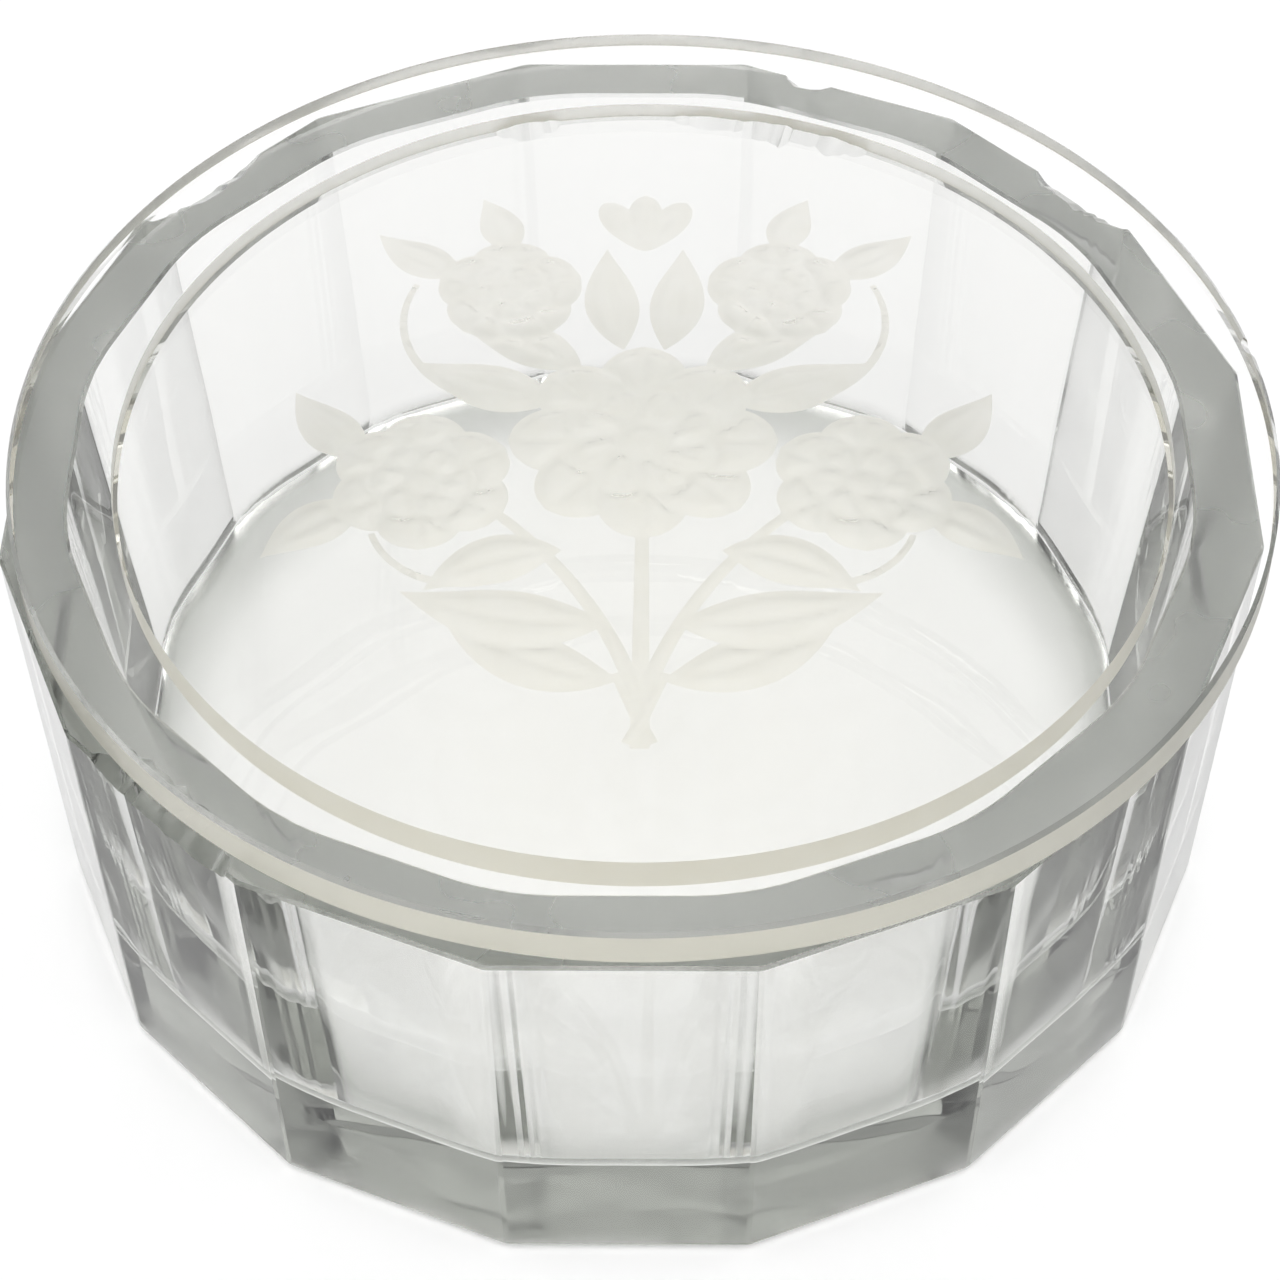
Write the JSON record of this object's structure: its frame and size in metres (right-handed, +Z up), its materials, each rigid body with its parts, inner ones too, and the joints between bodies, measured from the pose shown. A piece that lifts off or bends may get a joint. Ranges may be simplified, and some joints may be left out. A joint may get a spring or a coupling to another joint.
{
  "type": "covered candy dish",
  "caption": "Round clear glass candy dish with flat-cut sides, a thick floor and a flat lid whose lower step drops into the bowl; the lid lifts off.",
  "frame": {"origin": "middle of the bowl's flat underside, on its upright axis", "axes": "+Z up along the bowl's axis; the middle of one side panel faces -Y"},
  "size_m": [0.1199, 0.1202, 0.0503],
  "materials": {
    "bowl_glass": "polished clear glass with flat-cut panels",
    "lid_glass": "polished clear glass with a frosted engraving on the underside"
  },
  "bodies": {
    "bowl": {"bowl": "bowl_glass"},
    "lid": {"lid": "lid_glass"}
  },
  "joints": [
    {"name": "lid_lift", "type": "slide", "parent": "bowl", "child": "lid", "axis": [0, 0, 1], "range_m": [0, 0.08]}
  ]
}
